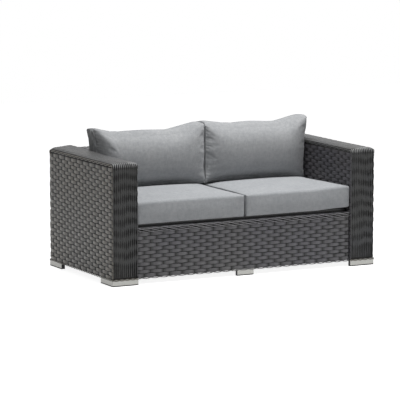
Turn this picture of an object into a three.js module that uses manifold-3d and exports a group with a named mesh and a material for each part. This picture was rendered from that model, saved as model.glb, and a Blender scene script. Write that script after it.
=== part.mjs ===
// A two-seat rattan garden sofa: box arms, box back and front skirt, each a welded square-tube
// frame woven over with flat synthetic rattan, bolted together round a drop-in seat frame.
// Two boxed seat cushions and two boxed back cushions lie loose in the well between the arms.
// Millimetres, +Z up, -Y is the front. The origin is on the floor, under the middle of the sofa.
// Left and right are as seen from the front.
import * as THREE from "three";
import { mergeVertices } from "three/addons/utils/BufferGeometryUtils.js";
import Module from "manifold-3d";

const wasm = await Module();
wasm.setup();

const gridSteps = 1024; // to the millimetre

// Overall sizes
const width = 1500;
const depth = 750;
const armTop = 608;
const armWidth = 140;
const backThickness = 140;
const footHeight = 32;

// Clearances between pieces
const touch = 0.3; // two faces that bear on each other
const panelGap = 0.5; // between a panel's end and the arm beside it
const cutOver = 2; // how far a cutter runs past what it cuts

// Rattan skins
const wicker = 3; // thickness of the woven skin
const rollRadius = 14; // rounded top edges
const cornerRadius = 8; // rounded upright edges
const roundSteps = 4; // straight steps in a quarter round
const skirtRecess = 12; // the skirt's face lies behind the arms' faces
const skirtTop = 285;
const skirtLip = 10; // the skirt's skin turns down behind its top rail

// Square tube
const tube = 25;
const tubeWall = 1.2;
const stake = 6; // rods that the rattan is woven round
const frameInset = 6.5; // from a panel's face to its tube, so that the rods stand in front
const stakePitchMost = 130;
const drainRadius = 3;

// Seat support
const ledgeTop = 272;
const seatFrameGap = 4; // between the seat frame and the arms, skirt and back
const deckSheet = 1.5;
const beamFlange = 3;
const beamFlangeWidth = 40;

// Fasteners
const boltRadius = 4;
const boltHeadRadius = 8;
const boltHead = 5;
const headEndShare = 0.7; // a bolt head's radius at its outer end
const boltReach = 12; // how far a bolt runs into the second frame
const boltFit = 0.6; // hole radius less bolt radius
const lowerBoltHeight = 105;
const upperBoltHeight = 215;
const screwRadius = 3;
const screwHeadRadius = 6;
const screwHead = 4;
const screwReach = 14;
const roundSides = 12;

// Feet
const footLimb = 140; // length of each limb of a corner foot
const footThickness = 20;
const centreFootLength = 93;
const footBase = 5; // bare plastic below the aluminium face
const cladding = 1.5;
const screwInset = 38; // from a foot's end to its screw

// Cushions
const seatThickness = 110;
const seatCrown = 16;
const seatFlatMargin = 58; // the seat's swell ends this far in front of the back cushions
const seatEdgeRadius = 16;
const seatCornerRadius = 34;
const seatDrawIn = 5;
const cushionGap = 1.5; // each side of each cushion
const zipRoom = 5; // between a cushion's rear face and the back panel
const frontSetback = 4; // the seat cushions' fronts lie behind the arms' fronts
const backCushionHeight = 331; // to the tips of its top corners
const backCushionThickness = 166;
const backTaper = 22; // the top is thinner than the foot, so that the front leans back
const backCrown = 22;
const backEdgeRadius = 30;
const backCornerRadius = 30;
const backTopDrawIn = 26;
const backSideDrawIn = 8;
const cover = 3; // fabric cover with its wadding
const foamGap = 0.5;
const zipLength = 460;
const zipSlot = 2;
const zipHeightInBack = 40; // above the back cushion's lower edge

// Zip slider
const sliderLength = 14;
const sliderHeight = 9;
const sliderThickness = 2.4;
const pullerLength = 24;
const pullerHeight = 5;
const pullerThickness = 1.2;

// Places that follow from those sizes
const innerX = width / 2 - armWidth; // inner face of an arm
const frontY = -depth / 2;
const rearY = depth / 2;
const backFrontY = rearY - backThickness;
const skirtY = frontY + skirtRecess;
const baseZ = footHeight + touch; // underside of the woven panels
const frameTopZ = armTop - frameInset;
const skirtFrameY = skirtY + frameInset;
const seatFrameZ = ledgeTop + touch;
const deckZ = seatFrameZ + tube + touch;
const cushionZ = deckZ + deckSheet + touch;
const backCushionZ = cushionZ + seatThickness + touch;
const proud = frameInset - wicker - touch; // how far the rods stand out of the tubes
const backFrameY = backFrontY + frameInset;
const frontLedge = [skirtFrameY + tube + touch, skirtFrameY + tube + touch + tube]; // from y to y
const rearLedge = [backFrameY - touch - tube, backFrameY - touch];
const ledgeMiddles = [frontLedge, rearLedge].map(([y0, y1]) => (y0 + y1) / 2);

const metal = { color: 0x1d1d1e, roughness: 0.5, metalness: 0.6 };
const rattan = { color: 0x4b4b4a, roughness: 0.6, metalness: 0 };
const fabric = { color: 0x8f9294, roughness: 0.95, metalness: 0 };
const filling = { color: 0xd8d4c4, roughness: 1, metalness: 0 };
const plastic = { color: 0x161616, roughness: 0.6, metalness: 0 };
const brushed = { color: 0xb9bab4, roughness: 0.35, metalness: 0.9 };
const zinc = { color: 0x9a9b9c, roughness: 0.4, metalness: 0.9 };

// A closed three.js geometry as a solid that can be joined and cut. Its corners move to the
// nearest point of a fine grid, so that faces which are meant to lie in one plane do.
function solidOf(geometry) {
  const bare = geometry.clone();
  bare.deleteAttribute("normal");
  bare.deleteAttribute("uv");
  const corners = bare.attributes.position.array;
  corners.forEach((value, i) => { corners[i] = Math.round(value * gridSteps) / gridSteps; });
  const merged = mergeVertices(bare, 1e-4);
  return new wasm.Manifold(
    new wasm.Mesh({
      numProp: 3,
      vertProperties: merged.attributes.position.array,
      triVerts: new Uint32Array(merged.index.array),
    }),
  );
}

function geometryOf(solid) {
  const mesh = solid.getMesh();
  const geometry = new THREE.BufferGeometry();
  geometry.setAttribute("position", new THREE.BufferAttribute(mesh.vertProperties, 3));
  geometry.setIndex(new THREE.BufferAttribute(mesh.triVerts, 1));
  geometry.computeVertexNormals();
  return geometry;
}

// A box from its lowest to its highest corner, [x, y, z] each.
function box(low, high) {
  const size = high.map((value, axis) => value - low[axis]);
  const geometry = new THREE.BoxGeometry(...size);
  geometry.translate(...high.map((value, axis) => (value + low[axis]) / 2));
  return solidOf(geometry);
}

// A box between two opposite corners in any order.
const boxBetween = (one, other) =>
  box(one.map((value, i) => Math.min(value, other[i])), one.map((value, i) => Math.max(value, other[i])));

const joined = (solids) => solids.reduce((sum, solid) => sum.add(solid));

// A round bar from one point along an axis ("x", "y" or "z"), with an optional smaller end radius.
function bar(start, axis, length, radius, endRadius = radius) {
  const geometry = new THREE.CylinderGeometry(endRadius, radius, Math.abs(length), roundSides);
  if (axis === "x") geometry.rotateZ(-Math.PI / 2 * Math.sign(length));
  if (axis === "y" && length < 0) geometry.rotateX(Math.PI);
  if (axis === "z") geometry.rotateX(Math.PI / 2 * Math.sign(length));
  const middle = [...start];
  middle["xyz".indexOf(axis)] += length / 2;
  geometry.translate(...middle);
  return solidOf(geometry);
}

const drawnOut = (outline, depth) =>
  new THREE.ExtrudeGeometry(outline, { depth, bevelEnabled: false, curveSegments: roundSteps });

// An outline in the plane square to X, given as [y, z] points, drawn out from x0 to x1.
function extrudedAlongX(outline, x0, x1) {
  const geometry = drawnOut(outline, x1 - x0);
  geometry.rotateX(Math.PI / 2);
  geometry.rotateZ(Math.PI / 2);
  geometry.translate(x0, 0, 0);
  return solidOf(geometry);
}

// A rectangle whose two upper corners are rounded, as a three.js shape in its own x and y.
function roundTopped(low, high, bottom, top, radius) {
  const shape = new THREE.Shape();
  shape.moveTo(low, bottom);
  shape.lineTo(high, bottom);
  shape.lineTo(high, top - radius);
  shape.absarc(high - radius, top - radius, radius, 0, Math.PI / 2, false);
  shape.lineTo(low + radius, top);
  shape.absarc(low + radius, top - radius, radius, Math.PI / 2, Math.PI, false);
  shape.closePath();
  return shape;
}

// A rectangle with four rounded corners.
function roundedRectangle(x0, x1, y0, y1, radius) {
  const shape = new THREE.Shape();
  shape.moveTo(x0 + radius, y0);
  shape.lineTo(x1 - radius, y0);
  shape.absarc(x1 - radius, y0 + radius, radius, -Math.PI / 2, 0, false);
  shape.lineTo(x1, y1 - radius);
  shape.absarc(x1 - radius, y1 - radius, radius, 0, Math.PI / 2, false);
  shape.lineTo(x0 + radius, y1);
  shape.absarc(x0 + radius, y1 - radius, radius, Math.PI / 2, Math.PI, false);
  shape.lineTo(x0, y0 + radius);
  shape.absarc(x0 + radius, y0 + radius, radius, Math.PI, Math.PI * 1.5, false);
  return shape;
}

// Welded frames: each bar is a box [low, high]. Bars share their corners, so that their
// hollows join into one, which a drain hole opens.
function tubeFrame(bars, stakes, holes) {
  const outside = joined([...bars, ...stakes].map(([low, high]) => box(low, high)));
  const hollows = bars.map(([low, high]) =>
    box(low.map((v) => v + tubeWall), high.map((v) => v - tubeWall)));
  return outside.subtract(joined(hollows)).subtract(joined(holes));
}

// Places of rods between two ends, spaced evenly and no further apart than the greatest pitch.
function stakePlaces(from, to) {
  const gaps = Math.ceil((to - from) / stakePitchMost);
  const pitch = (to - from) / gaps;
  return Array.from({ length: gaps - 1 }, (_, i) => from + pitch * (i + 1));
}

const drain = (x, y) => bar([x, y, baseZ - cutOver], "z", tubeWall + 2 * cutOver, drainRadius);

// Middle of the tube that the front and rear posts share with the arms' inner posts.
const frontPostY = skirtFrameY + tube / 2;
const rearPostY = backFrameY + tube / 2;

// Bolts run along X from inside the well, through the end post, into the arm's inner post.
const boltPlaces = [
  ["front_lower", frontPostY, lowerBoltHeight],
  ["front_upper", frontPostY, upperBoltHeight],
  ["rear_lower", rearPostY, lowerBoltHeight],
  ["rear_upper", rearPostY, upperBoltHeight],
];
const postInnerX = innerX - panelGap - tube; // face of an end post that a bolt head bears on
const boltEndX = innerX + frameInset + boltReach;

function boltHoles(side) {
  const start = side * (postInnerX - cutOver);
  const reach = side * (boltEndX - postInnerX + 2 * cutOver);
  return boltPlaces.map(([, y, z]) => bar([start, y, z], "x", reach, boltRadius + boltFit));
}

function armBolt(side, y, z) {
  const headX = side * (postInnerX - touch);
  const reach = side * (boltEndX - postInnerX + touch + boltHead / 2);
  const shank = bar([headX - side * boltHead / 2, y, z], "x", reach, boltRadius);
  const head = bar([headX, y, z], "x", -side * boltHead, boltHeadRadius, boltHeadRadius * headEndShare);
  return shank.add(head);
}

// Feet: a limb runs along one edge of the sofa's base. Each has its screw holes.
const screwZ = footBase; // underside of a screw's head recess
const screwTopZ = baseZ + screwReach;

function footScrews(places) {
  return places.map(([x, y]) => {
    const head = bar([x, y, screwZ], "z", screwHead, screwHeadRadius, screwRadius);
    return bar([x, y, screwZ], "z", screwTopZ - screwZ, screwRadius).add(head);
  });
}

function screwHoles(places) {
  return places.map(([x, y]) => {
    const recess = bar([x, y, -cutOver], "z", screwZ + screwHead + cutOver, screwHeadRadius + boltFit);
    return bar([x, y, -cutOver], "z", screwTopZ + 2 * cutOver, screwRadius + boltFit).add(recess);
  });
}

const cornerFootScrews = (sideX, sideY) => [
  [sideX * (width / 2 - footLimb + screwInset), sideY * (depth / 2 - footThickness / 2 - cladding)],
  [sideX * (width / 2 - footThickness / 2 - cladding), sideY * (depth / 2 - footLimb + screwInset)],
];
const centreFootY = { front: skirtY + footThickness / 2, rear: rearY - footThickness / 2 };
const centreFootScrews = (y) => [-1, 1].map((side) => [side * (centreFootLength / 2 - screwInset / 2), y]);

function cornerFoot(sideX, sideY) {
  const x = (fromOutside) => sideX * (width / 2 - fromOutside);
  const y = (fromOutside) => sideY * (depth / 2 - fromOutside);
  const block = (x0, x1, y0, y1, z0, z1) => boxBetween([x(x0), y(y0), z0], [x(x1), y(y1), z1]);
  const inset = cladding + touch;
  const core = joined([
    block(0, footLimb, 0, footThickness, 0, footBase),
    block(0, footThickness, 0, footLimb, 0, footBase),
    block(inset, footLimb, inset, footThickness, 0, footHeight),
    block(inset, footThickness, inset, footLimb, 0, footHeight),
  ]).subtract(joined(screwHoles(cornerFootScrews(sideX, sideY))));
  const low = footBase + touch;
  const face = block(0, footLimb, 0, cladding, low, footHeight)
    .add(block(0, cladding, 0, footLimb, low, footHeight));
  return { core, face };
}

function centreFoot(y, sideY) {
  const half = centreFootLength / 2;
  const outer = y + sideY * footThickness / 2;
  const inner = y - sideY * footThickness / 2;
  const block = (a, b, z0, z1) => boxBetween([-half, a, z0], [half, b, z1]);
  const core = block(outer, inner, 0, footBase)
    .add(block(outer - sideY * (cladding + touch), inner, 0, footHeight))
    .subtract(joined(screwHoles(centreFootScrews(y))));
  return { core, face: block(outer, outer - sideY * cladding, footBase + touch, footHeight) };
}

// Arms
function armFrame(side) {
  const outX = width / 2 - frameInset;
  const inX = innerX + frameInset;
  const endY = depth / 2 - frameInset;
  const at = (x0, x1, y0, y1, z0, z1) =>
    [[Math.min(side * x0, side * x1), y0, z0], [Math.max(side * x0, side * x1), y1, z1]];
  const levels = [[baseZ, baseZ + tube], [frameTopZ - tube, frameTopZ]];
  const bars = levels.flatMap(([z0, z1]) => [
    at(outX - tube, outX, -endY, endY, z0, z1),
    at(inX, inX + tube, -endY, endY, z0, z1),
    at(inX, outX, -endY, -endY + tube, z0, z1),
    at(inX, outX, endY - tube, endY, z0, z1),
  ]);
  bars.push(at(outX - tube, outX, -endY, -endY + tube, baseZ, frameTopZ));
  bars.push(at(outX - tube, outX, endY - tube, endY, baseZ, frameTopZ));
  for (const y of [frontPostY, rearPostY])
    bars.push(at(inX, inX + tube, y - tube / 2, y + tube / 2, baseZ, frameTopZ));
  const zs = [baseZ + tube / 2, frameTopZ - tube / 2];
  const stakes = [
    ...stakePlaces(-endY + tube, endY - tube).map((y) =>
      at(outX + proud - stake, outX + proud, y - stake / 2, y + stake / 2, ...zs)),
    ...stakePlaces(frontPostY, rearPostY).map((y) =>
      at(inX - proud, inX - proud + stake, y - stake / 2, y + stake / 2, ...zs)),
  ];
  const screws = [-1, 1].flatMap((sideY) => screwHoles(cornerFootScrews(side, sideY)));
  return tubeFrame(bars, stakes, [...boltHoles(side), ...screws, drain(side * (outX - tube / 2), 0)]);
}

// The arm's rounded block. Its inside is the same block drawn in, open underneath.
function armBlock(side, inset, bottom) {
  const low = Math.min(side * innerX, side * width / 2) + inset;
  const high = Math.max(side * innerX, side * width / 2) - inset;
  const [y0, y1, top] = [frontY + inset, rearY - inset, armTop - inset];
  const roll = rollRadius - inset;
  const across = drawnOut(roundTopped(low, high, bottom, top, roll), y1 - y0);
  across.rotateX(Math.PI / 2);
  across.translate(0, y1, 0);
  const along = extrudedAlongX(roundTopped(y0, y1, bottom, top, roll), low, high);
  const plan = drawnOut(roundedRectangle(low, high, y0, y1, cornerRadius - inset), top - bottom);
  plan.translate(0, 0, bottom);
  return solidOf(across).intersect(along).intersect(solidOf(plan));
}

function armSkin(side) {
  return armBlock(side, 0, baseZ)
    .subtract(armBlock(side, wicker, baseZ - cutOver))
    .subtract(joined(boltHoles(side)));
}

// The back: a box frame open at its ends. Its front rods stand on the ledge.
function backFrame() {
  const halfX = innerX - panelGap;
  const y0 = backFrameY;
  const y1 = rearY - frameInset;
  const bars = [[baseZ, baseZ + tube], [frameTopZ - tube, frameTopZ]].flatMap(([z0, z1]) => [
    [[-halfX, y0, z0], [halfX, y0 + tube, z1]],
    [[-halfX, y1 - tube, z0], [halfX, y1, z1]],
    ...[-halfX, -tube / 2, halfX - tube].map((x) => [[x, y0, z0], [x + tube, y1, z1]]),
  ]);
  for (const x of [-halfX, -tube / 2, halfX - tube])
    for (const y of [y0, y1 - tube]) bars.push([[x, y, baseZ], [x + tube, y + tube, frameTopZ]]);
  const zs = [baseZ + tube / 2, frameTopZ - tube / 2];
  const xs = [...stakePlaces(-halfX + tube, -tube / 2), ...stakePlaces(tube / 2, halfX - tube)];
  const stakes = xs.flatMap((x) => [
    [[x - stake / 2, y0 - proud, ledgeTop + touch], [x + stake / 2, y0 - proud + stake, zs[1]]],
    [[x - stake / 2, y1 + proud - stake, zs[0]], [x + stake / 2, y1 + proud, zs[1]]],
  ]);
  const holes = [...boltHoles(1), ...boltHoles(-1), ...screwHoles(centreFootScrews(centreFootY.rear)),
    drain(innerX / 2, y1 - tube / 2)];
  return tubeFrame(bars, stakes, holes);
}

function backSkin() {
  const frontLegZ = ledgeTop + 2 * touch;
  const outline = roundTopped(backFrontY, rearY, baseZ, armTop, rollRadius);
  const halfX = innerX - panelGap;
  const inside = roundTopped(backFrontY + wicker, rearY - wicker, baseZ - cutOver, armTop - wicker,
    rollRadius - wicker);
  const hollow = extrudedAlongX(inside, -halfX - cutOver, halfX + cutOver);
  const openFront = box([-halfX - cutOver, backFrontY - cutOver, baseZ - cutOver],
    [halfX + cutOver, backFrontY + wicker + cutOver, frontLegZ]);
  return extrudedAlongX(outline, -halfX, halfX).subtract(hollow).subtract(openFront);
}

// The front skirt: a flat frame.
function skirtFrame() {
  const halfX = innerX - panelGap;
  const top = skirtTop - frameInset;
  const y0 = skirtFrameY;
  const y1 = skirtFrameY + tube;
  const bars = [
    [[-halfX, y0, baseZ], [halfX, y1, baseZ + tube]],
    [[-halfX, y0, top - tube], [halfX, y1, top]],
    ...[-halfX, -tube / 2, halfX - tube].map((x) => [[x, y0, baseZ], [x + tube, y1, top]]),
  ];
  const zs = [baseZ + tube / 2, top - tube / 2];
  const xs = [...stakePlaces(-halfX + tube, -tube / 2), ...stakePlaces(tube / 2, halfX - tube)];
  const stakes = xs.map((x) =>
    [[x - stake / 2, y0 - proud, zs[0]], [x + stake / 2, y0 - proud + stake, zs[1]]]);
  const holes = [...boltHoles(1), ...boltHoles(-1), ...screwHoles(centreFootScrews(centreFootY.front)),
    drain(innerX / 2, frontPostY)];
  return tubeFrame(bars, stakes, holes);
}

function skirtSkin() {
  const rear = skirtFrameY + tube + touch + wicker;
  const halfX = innerX - panelGap;
  const outline = roundTopped(skirtY, rear, baseZ, skirtTop, rollRadius / 2);
  const hollow = box([-halfX - cutOver, skirtY + wicker, baseZ - cutOver],
    [halfX + cutOver, rear - wicker, skirtTop - wicker]);
  const openRear = box([-halfX - cutOver, rear - wicker - cutOver, baseZ - cutOver],
    [halfX + cutOver, rear + cutOver, skirtTop - skirtLip]);
  return extrudedAlongX(outline, -halfX, halfX).subtract(hollow).subtract(openRear);
}

// The two ledges that carry the seat, one on the skirt frame and one on the back frame
function ledge([y0, y1]) {
  const halfX = innerX - panelGap;
  const tubes = [[[-halfX, y0, ledgeTop - tube], [halfX, y1, ledgeTop]]];
  return tubeFrame(tubes, [], [beamBoltHole((y0 + y1) / 2)]);
}

// Seat frame, which drops on to the two ledges, and the black sheet stretched over it
const seatFrameFrontY = skirtFrameY + tube + touch + wicker + seatFrameGap;
const seatFrameRearY = backFrontY - seatFrameGap;
const seatFrameHalfX = innerX - seatFrameGap;

// A flat ladder of tubes all in one plane: a slab less the windows between its rungs.
function seatFrame() {
  const [z0, z1] = [seatFrameZ, seatFrameZ + tube];
  const ends = [-seatFrameHalfX, seatFrameHalfX - tube];
  const rungs = [...ends, ...stakePlaces(...ends)].sort((p, q) => p - q);
  const windows = rungs.slice(1).map((x, i) =>
    [[rungs[i] + tube, seatFrameFrontY + tube, z0 - cutOver], [x, seatFrameRearY - tube, z1 + cutOver]]);
  const grown = windows.map(([low, high]) =>
    box([low[0] - tubeWall, low[1] - tubeWall, low[2]], [high[0] + tubeWall, high[1] + tubeWall, high[2]]));
  const outside = box([-seatFrameHalfX, seatFrameFrontY, z0], [seatFrameHalfX, seatFrameRearY, z1])
    .subtract(joined(windows.map(([low, high]) => box(low, high))));
  const hollow = box([-seatFrameHalfX + tubeWall, seatFrameFrontY + tubeWall, z0 + tubeWall],
    [seatFrameHalfX - tubeWall, seatFrameRearY - tubeWall, z1 - tubeWall]).subtract(joined(grown));
  const ventStart = [-innerX / 2, seatFrameFrontY + tube / 2, z0 - cutOver];
  const vent = bar(ventStart, "z", tubeWall + 2 * cutOver, drainRadius);
  return outside.subtract(hollow).subtract(vent);
}

function seatDeck() {
  return box([-seatFrameHalfX, seatFrameFrontY, deckZ], [seatFrameHalfX, seatFrameRearY, deckZ + deckSheet]);
}

// Centre beam between the two ledges, whose end flanges are bolted up under them
const beamTop = ledgeTop - touch;
const beamBottom = beamTop - tube;
const flangeTop = ledgeTop - tube - touch;

function beamBoltHole(y) {
  const start = [0, y, flangeTop - beamFlange - cutOver];
  return bar(start, "z", beamFlange + boltReach + cutOver, boltRadius + boltFit);
}

function centreBeam() {
  const [y0, y1] = [frontLedge[1] + touch, rearLedge[0] - touch];
  const shell = box([-tube / 2, y0, beamBottom], [tube / 2, y1, beamTop]);
  const hollow = box([-tube / 2 + tubeWall, y0 - cutOver, beamBottom + tubeWall],
    [tube / 2 - tubeWall, y1 + cutOver, beamTop - tubeWall]);
  const half = beamFlangeWidth / 2;
  const flange = box([-half, y0 - tube - touch, flangeTop - beamFlange],
    [half, y1 + tube + touch, flangeTop]);
  const holes = ledgeMiddles.map(beamBoltHole);
  return shell.subtract(hollow).add(flange).subtract(joined(holes));
}

function beamBolt(y) {
  const headZ = flangeTop - beamFlange - touch;
  const head = bar([0, y, headZ], "z", -boltHead, boltHeadRadius, boltHeadRadius * headEndShare);
  const reach = boltHead / 2 + touch + beamFlange + boltReach - cutOver;
  return head.add(bar([0, y, headZ - boltHead / 2], "z", reach, boltRadius));
}

// Cushions: a closed form of rings round a rounded rectangle in the plane (a, b), built up along c.
// The outside has finer steps than the inside, whose straight stretches stay within it.
const fine = { arc: 4, side: 8, edge: 2, topShares: [0.22, 0.44, 0.66, 0.86] };
const coarse = { arc: 2, side: 5, edge: 1, topShares: [0.35, 0.7] };
const insideCrownShare = 0.6; // the wadding is thicker over the crown

// Points of one ring. Each side bends inwards by its own draw-in between the corners.
function ring(halfA, halfB, radius, drawIn, steps) {
  const points = [];
  const sides = [
    { at: [1, 0], turn: 0, half: halfB, in: drawIn.right },
    { at: [0, 1], turn: 1, half: halfA, in: drawIn.far },
    { at: [-1, 0], turn: 2, half: halfB, in: drawIn.left },
    { at: [0, -1], turn: 3, half: halfA, in: drawIn.near },
  ];
  for (const side of sides) {
    const reach = side.at[0] ? halfA : halfB;
    const straight = side.half - radius;
    for (let i = 0; i < steps.side; i += 1) {
      const t = -1 + (2 * i) / steps.side;
      const out = reach - side.in * (1 - t * t);
      const [n, s] = [side.at, [-side.at[1], side.at[0]]];
      points.push([n[0] * out + s[0] * t * straight, n[1] * out + s[1] * t * straight]);
    }
    for (let i = 0; i < steps.arc; i += 1) {
      const angle = (side.turn + i / steps.arc) * Math.PI / 2;
      const [ca, cb] = [[1, 1], [-1, 1], [-1, -1], [1, -1]][side.turn];
      points.push([ca * (halfA - radius) + radius * Math.cos(angle),
        cb * (halfB - radius) + radius * Math.sin(angle)]);
    }
  }
  return points;
}

// rings: [inset, height] pairs from the bottom centre to the top centre. top(a, b) adds the crown.
function ringedSolid({ halfA, halfB, radius, drawIn, rings, crown, place, steps }) {
  const positions = [];
  const push = (a, b, c) => positions.push(...place(a, b, c));
  push(0, 0, rings[0][1]);
  for (const [inset, height, crowned] of rings) {
    const fade = Math.max(0, 1 - inset / Math.min(halfA, halfB));
    const pull = Object.fromEntries(Object.entries(drawIn).map(([k, v]) => [k, v * fade]));
    const turn = Math.max(radius - inset / 2, radius / 3);
    for (const [a, b] of ring(halfA - inset, halfB - inset, turn, pull, steps))
      push(a, b, height + (crowned ? crown(a, b) : 0));
  }
  push(0, 0, rings.at(-1)[1] + crown(0, 0));
  const count = 4 * (steps.arc + steps.side);
  const last = rings.length * count + 1;
  const index = [];
  for (let i = 0; i < count; i += 1) {
    const next = (i + 1) % count;
    index.push(0, 1 + next, 1 + i);
    for (let k = 0; k < rings.length - 1; k += 1) {
      const [p, q] = [1 + k * count, 1 + (k + 1) * count];
      index.push(p + i, p + next, q + i, p + next, q + next, q + i);
    }
    index.push(last, last - count + i, last - count + next);
  }
  const geometry = new THREE.BufferGeometry();
  geometry.setAttribute("position", new THREE.Float32BufferAttribute(positions, 3));
  geometry.setIndex(index);
  return solidOf(geometry);
}

// The rings of a boxed cushion: rounded lower edge, upright side, rounded upper edge, crowned top.
function boxedRings(halfLeast, thickness, edge, shrink, steps) {
  const turns = Array.from({ length: steps.edge + 1 }, (_, i) => (i / steps.edge) * Math.PI / 2);
  const lower = turns.map((turn) =>
    [edge * (1 - Math.sin(turn)) + shrink, edge * (1 - Math.cos(turn)) + shrink]);
  const upper = [...lower].reverse().map(([inset, height]) => [inset, thickness - height, true]);
  const top = steps.topShares.map((share) =>
    [edge + shrink + share * (halfLeast - edge - shrink), thickness - shrink, true]);
  return [...lower, ...upper, ...top];
}

// The outside of a cushion has no shrink. Its inside and its filling are shrunk and coarser.
function boxedForm({ halfA, halfB, thickness, edge, crown, ...rest }, shrink) {
  const steps = shrink ? coarse : fine;
  const crownShare = shrink ? insideCrownShare : 1;
  return ringedSolid({
    halfA, halfB, steps, ...rest,
    crown: (a, b) => crownShare * crown(a, b),
    rings: boxedRings(Math.min(halfA, halfB), thickness, edge, shrink, steps),
  });
}

const seatHalfX = innerX / 2 - cushionGap;
const seatFrontY = frontY + frontSetback;
const seatRearY = backFrontY - zipRoom;
const seatHalfY = (seatRearY - seatFrontY) / 2;
const seatMiddleY = (seatRearY + seatFrontY) / 2;
const seatFlatFrom = backFrontY - zipRoom - backCushionThickness - backCrown - seatFlatMargin - seatMiddleY;

// The seat's crown swells under the sitter and dies away where the back cushion stands on it.
function seatSwell(a, b) {
  const across = Math.max(0, 1 - (a / seatHalfX) ** 2);
  const along = (b + seatHalfY) / (seatFlatFrom + seatHalfY);
  return along <= 0 || along >= 1 ? 0 : seatCrown * Math.sqrt(across) * Math.sin(Math.PI * along);
}

function seatForm(side, shrink) {
  return boxedForm({
    halfA: seatHalfX, halfB: seatHalfY, radius: seatCornerRadius,
    thickness: seatThickness, edge: seatEdgeRadius, crown: seatSwell,
    drawIn: { right: seatDrawIn, left: seatDrawIn, near: seatDrawIn, far: 0 },
    place: (a, b, c) => [side * innerX / 2 + a, seatMiddleY + b, cushionZ + c],
  }, shrink);
}

const backHalfZ = backCushionHeight / 2;
const backCushionRearY = backFrontY - zipRoom;

// The back cushion swells towards the sitter from its four edges.
function backSwell(a, b) {
  const across = Math.max(0, 1 - (a / seatHalfX) ** 2) * Math.max(0, 1 - (b / backHalfZ) ** 2);
  return backCrown * Math.sqrt(across);
}

function backForm(side, shrink) {
  return boxedForm({
    halfA: seatHalfX, halfB: backHalfZ, radius: backCornerRadius,
    thickness: backCushionThickness, edge: backEdgeRadius, crown: backSwell,
    drawIn: { right: backSideDrawIn, left: backSideDrawIn, near: 0, far: backTopDrawIn },
    place: (a, b, c) => {
      const up = (b + backHalfZ) / backCushionHeight;
      const leaned = c * (1 - (up * backTaper) / backCushionThickness);
      return [side * innerX / 2 + a, backCushionRearY - leaned, backCushionZ + backHalfZ + b];
    },
  }, shrink);
}

// A cover is its outer form less the form of its inside, opened along the zip in its rear face.
function zipCut(side, z) {
  const middle = side * innerX / 2;
  return box([middle - zipLength / 2, seatRearY - cover - cutOver, z - zipSlot / 2],
    [middle + zipLength / 2, seatRearY + cutOver, z + zipSlot / 2]);
}

// The slider rests at the outer end of its zip and lies on the cushion's rear face.
function zipSlider(side, z) {
  const end = side * (innerX / 2 + zipLength / 2 - sliderLength);
  const y0 = seatRearY + touch;
  const body = box([end - sliderLength / 2, y0, z - sliderHeight / 2],
    [end + sliderLength / 2, y0 + sliderThickness, z + sliderHeight / 2]);
  const tab = end - side * (sliderLength / 2 + pullerLength / 2);
  const puller = box([tab - pullerLength / 2, y0, z - pullerHeight / 2],
    [tab + pullerLength / 2, y0 + pullerThickness, z + pullerHeight / 2]);
  const eyeStart = [tab - side * pullerLength / 4, y0 - cutOver, z];
  const eye = bar(eyeStart, "y", pullerThickness + 2 * cutOver, pullerHeight / 4);
  const neck = box([Math.min(end, tab), y0, z - pullerHeight / 4],
    [Math.max(end, tab) - pullerLength / 4, y0 + pullerThickness, z + pullerHeight / 4]);
  return body.add(puller.subtract(eye)).add(neck);
}

// Assembly
const sofa = new THREE.Group();

function addPart(name, solid, finish) {
  const mesh = new THREE.Mesh(geometryOf(solid), new THREE.MeshStandardMaterial(finish));
  mesh.name = name;
  sofa.add(mesh);
}

const sides = [["left", -1], ["right", 1]];

for (const [name, side] of sides) {
  addPart(`${name}_arm_frame`, armFrame(side), metal);
  addPart(`${name}_arm_wicker`, armSkin(side), rattan);
  for (const [place, y, z] of boltPlaces) addPart(`bolt_${name}_${place}`, armBolt(side, y, z), zinc);
}
addPart("back_frame", backFrame(), metal);
addPart("back_wicker", backSkin(), rattan);
addPart("skirt_frame", skirtFrame(), metal);
addPart("skirt_wicker", skirtSkin(), rattan);
addPart("front_ledge", ledge(frontLedge), metal);
addPart("rear_ledge", ledge(rearLedge), metal);
addPart("seat_frame", seatFrame(), metal);
addPart("seat_deck_sheet", seatDeck(), plastic);
addPart("centre_beam", centreBeam(), metal);
ledgeMiddles.forEach((y, i) => addPart(["beam_bolt_front", "beam_bolt_rear"][i], beamBolt(y), zinc));

for (const [end, sideY] of [["front", -1], ["rear", 1]]) {
  for (const [name, sideX] of sides) {
    const { core, face } = cornerFoot(sideX, sideY);
    addPart(`foot_${end}_${name}`, core, plastic);
    addPart(`foot_face_${end}_${name}`, face, brushed);
    footScrews(cornerFootScrews(sideX, sideY)).forEach((screw, i) =>
      addPart(`foot_screw_${end}_${name}_${i + 1}`, screw, zinc));
  }
  const { core, face } = centreFoot(centreFootY[end], sideY);
  addPart(`foot_${end}_centre`, core, plastic);
  addPart(`foot_face_${end}_centre`, face, brushed);
  footScrews(centreFootScrews(centreFootY[end])).forEach((screw, i) =>
    addPart(`foot_screw_${end}_centre_${i + 1}`, screw, zinc));
}

const seatZipZ = cushionZ + seatThickness / 2;
const backZipZ = backCushionZ + zipHeightInBack;
for (const [name, side] of sides) {
  const seatCover = seatForm(side, 0).subtract(seatForm(side, cover)).subtract(zipCut(side, seatZipZ));
  const backCover = backForm(side, 0).subtract(backForm(side, cover)).subtract(zipCut(side, backZipZ));
  addPart(`seat_cushion_${name}_cover`, seatCover, fabric);
  addPart(`seat_cushion_${name}_foam`, seatForm(side, cover + foamGap), filling);
  addPart(`seat_zip_slider_${name}`, zipSlider(side, seatZipZ), zinc);
  addPart(`back_cushion_${name}_cover`, backCover, fabric);
  addPart(`back_cushion_${name}_foam`, backForm(side, cover + foamGap), filling);
  addPart(`back_zip_slider_${name}`, zipSlider(side, backZipZ), zinc);
}

export default sofa;
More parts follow.
